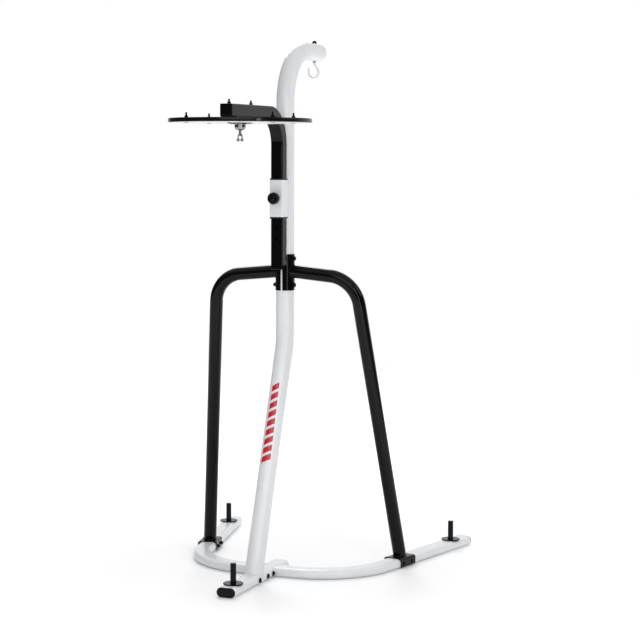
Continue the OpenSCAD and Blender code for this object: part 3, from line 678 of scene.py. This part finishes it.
def make_caps():
    """End caps of the base tubes and the speed-bag arm, and the sleeve's two liners."""
    base_cap("foot_front_end", "foot_front_cap", facing((0, FOOT_FRONT, SIDE_Z), (0, -1, 0)), 8, 5.5)
    base_cap("foot_rear_end", "foot_rear_cap", facing((0, FOOT_REAR, SIDE_Z), (0, 1, 0)), 4, 3.0)
    for side, label in ((1, "right"), (-1, "left")):
        spot = arm_frame(side, BOW_REAR, SIDE_Z)
        away = spot.to_3x3() @ Vector((0, 1, 0))
        base_cap(label + "_arm_end", label + "_arm_cap", facing(spot.translation, away), 8, 5.5)
    square_cap("post_end", "post_plug", facing((0, POST_Y, POST_Z0), (0, 0, -1), (0, 1, 0)))
    square_cap("beam_end", "beam_plug", facing((0, BEAM_END, BEAM_Z), (0, -1, 0)))
    bushing("sleeve_rim_low", "sleeve_bottom_bushing", facing((0, POST_Y, SLEEVE_Z0), (0, 0, -1), (0, 1, 0)))
    bushing("sleeve_rim_high", "sleeve_top_bushing", facing((0, POST_Y, SLEEVE_Z1), (0, 0, 1), (0, 1, 0)))


def make_mast_end():
    """Slightly domed plug in the end of the bag arm."""
    bm = bmesh.new()
    plug = MAST_R - 2.2
    profile = [(0, -10), (plug, -10), (plug, 0), (MAST_R, 0), (MAST_R, 1.5)]
    for k in range(1, 9):
        a = math.radians(90 * k / 8)
        profile.append((MAST_R - 12 + 12 * math.cos(a), 1.5 + 6.0 * math.sin(a)))
    profile += [(14, 8.6), (0, 9.0)]
    lathe(bm, profile, facing((0, BAG_ARM_END, BAG_ARM_Z), (0, 1, 0)), segments=96)
    piece("bag_arm_end", bm, MATERIALS["white_paint"], "stand", ("mast_end_cap",))


def make_knob():
    """Round pull knob with a soft rim, a dished face and a raised button."""
    bm = bmesh.new()
    face, back, cup = 36.0, 12.0, 21.0
    profile = [(0, face - 6), (KNOB_BORE_R, face - 6), (KNOB_BORE_R, cup), (12.5, cup), (12.5, back + 0.8)]
    profile += [(13.3, back), (17.0, back)]
    for k in range(1, 9):
        a = math.radians(90 * k / 8)
        profile.append((17.0 + 6.5 * math.sin(a), back + 6.5 * (1 - math.cos(a))))
    profile += [(23.5, face - 6.0)]
    for k in range(1, 9):
        a = math.radians(90 * k / 8)
        profile.append((18.5 + 5.0 * math.cos(a), face - 6.0 + 5.7 * math.sin(a)))
    profile += [(17.0, face), (15.4, face - 1.3), (14.6, face - 2.0), (9.0, face - 2.2)]
    profile += [(7.6, face - 1.7), (6.4, face - 1.0), (0, face - 0.8)]
    lathe(bm, profile, facing((0, SLEEVE_FACE, PIN_Z), (0, -1, 0)), segments=96)
    piece("pull_knob", bm, MATERIALS["black_plastic"], "locking_plunger", ("plunger_knob",))


def make_spring():
    """Compression spring round the pin, running from the pin's collar towards the barrel's front wall."""
    bm = bmesh.new()
    turns, steps, length, wire, coil_r = 3.5, 140, 12.6, 1.2, 6.9
    line = []
    for i in range(steps + 1):
        a = math.tau * turns * i / steps
        y = PIN_COLLAR_Y - wire / 2 - (length - wire) * i / steps
        line.append(Vector((coil_r * math.cos(a), y, PIN_Z + coil_r * math.sin(a))))
    sweep(bm, line, lambda i: wire / 2, closed=False, sides=12)
    spring = piece("pin_spring", bm, MATERIALS["zinc_steel"], "stand", ("plunger_spring",))
    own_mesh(spring)


def make_edge_band():
    """Moulding round the board, bulged outward, with small lips over its faces."""
    bm = bmesh.new()
    inner, low, high = 269.1, BOARD_Z0, BOARD_Z1
    middle, half = (low + high) / 2, (high - low) / 2
    profile = [(inner, low + 0.2)]
    for k in range(13):
        a = math.radians(-90 + 180 * k / 12)
        profile.append((BOARD_R - 1.7 + 1.7 * math.cos(a), middle + half * math.sin(a)))
    profile.append((inner, high - 0.2))
    lathe(bm, profile, Matrix.Translation((0, BOARD_Y, 0)), segments=192, closed=True)
    piece("board_rim", bm, MATERIALS["edge_band"], "speed_bag_arm", ("board_edge_band",))


# ---------- red graphic on the leaning tube ----------


def bar_grid(bm, bar, radius, columns=14, rows=6):
    """Rows of vertices over one bar, laid on a cylinder of this radius about the leaning tube's axis."""
    start, pitch, tall, slant = 452, 36.0, 24.0, 9.0
    along = Vector((0, math.sin(LEAN), math.cos(LEAN)))
    front = Vector((0, -math.cos(LEAN), math.sin(LEAN)))
    foot = Vector((0, upright_y(start), start))
    half = math.radians(31 - 1.0 * bar)
    grid = []
    for row in range(rows + 1):
        line = []
        for column in range(columns + 1):
            share = 2 * column / columns - 1
            run = bar * pitch + tall * row / rows + slant * share
            a = half * share
            out = math.cos(a) * front + math.sin(a) * Vector((1, 0, 0))
            line.append(bm.verts.new(foot + along * run + out * radius))
        grid.append(line)
    return grid


def rim_of(grid):
    """The vertices round the edge of a grid, in order."""
    rim = list(grid[0])
    rim += [row[-1] for row in grid[1:-1]]
    rim += list(reversed(grid[-1]))
    rim += [row[0] for row in reversed(grid[1:-1])]
    return rim


def make_graphic():
    """Nine slanted bars that narrow a little upwards: a plain racing stripe in thin film."""
    bm = bmesh.new()
    for bar in range(9):
        skins = [bar_grid(bm, bar, radius) for radius in (MAST_R + 0.03, MAST_R + 0.22)]
        for grid in skins:
            for low, high in zip(grid, grid[1:]):
                for k in range(len(low) - 1):
                    bm.faces.new((low[k], low[k + 1], high[k + 1], high[k]))
        bridge(bm, *(rim_of(grid) for grid in skins))
    piece("upright_graphic", bm, RED_FILM, "stand")


# ---------- the scene ----------

make_camera()
make_world()
make_floor()
area_light("front_softbox", (1.3, -4.4, 3.1), (0, 0, 1.0), 4.4, 3.4, 1.45)
area_light("back_softbox", (-1.8, 3.0, 3.8), (0, 0, 0.2), 1.6, 1.6, 8.0)
area_light("side_strip", (3.1, -2.8, 1.5), (0, 0, 1.2), 0.30, 3.0, 9.0)
area_light("right_softbox", (4.2, 1.0, 3.4), (0, 0, 0.8), 2.4, 2.0, 1.6)
scene.view_settings.view_transform = "Standard"

paint_cad_nodes()
make_white_welds()
make_black_welds()
make_fasteners()
make_caps()
make_mast_end()
make_knob()
make_spring()
make_edge_band()
make_graphic()
